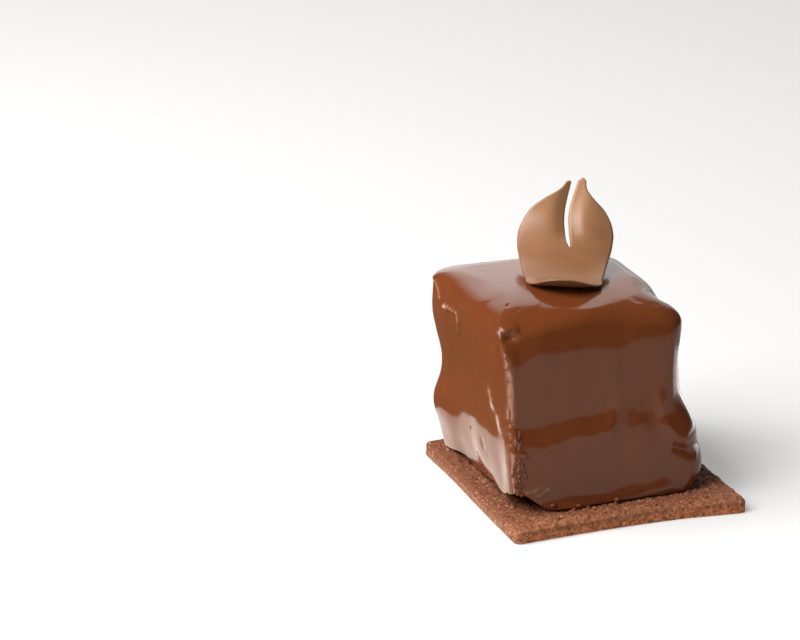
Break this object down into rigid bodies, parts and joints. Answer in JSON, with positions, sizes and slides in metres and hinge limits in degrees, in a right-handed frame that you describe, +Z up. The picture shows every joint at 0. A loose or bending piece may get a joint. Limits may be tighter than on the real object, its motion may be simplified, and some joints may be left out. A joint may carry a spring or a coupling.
{
  "type": "sachertorte",
  "caption": "Single-portion chocolate cake cube under a glossy poured glaze, set on a thin square cocoa biscuit and topped with a slit milk chocolate petal.",
  "frame": {"origin": "middle of the biscuit's underside, on the surface that the cake stands on", "axes": "+Z up; +X to the right along the front face; the front face looks along -Y"},
  "size_m": [0.0662, 0.0663, 0.0771],
  "materials": {
    "cocoa_shortbread": "baked, grainy, matte",
    "chocolate_sponge": "porous crumb, matte",
    "chocolate_glaze": "poured, glossy",
    "milk_chocolate": "cast, satin"
  },
  "bodies": {
    "root": {"biscuit_base": "cocoa_shortbread", "sponge_cake": "chocolate_sponge", "chocolate_glaze": "chocolate_glaze", "chocolate_petal": "milk_chocolate"}
  },
  "joints": []
}
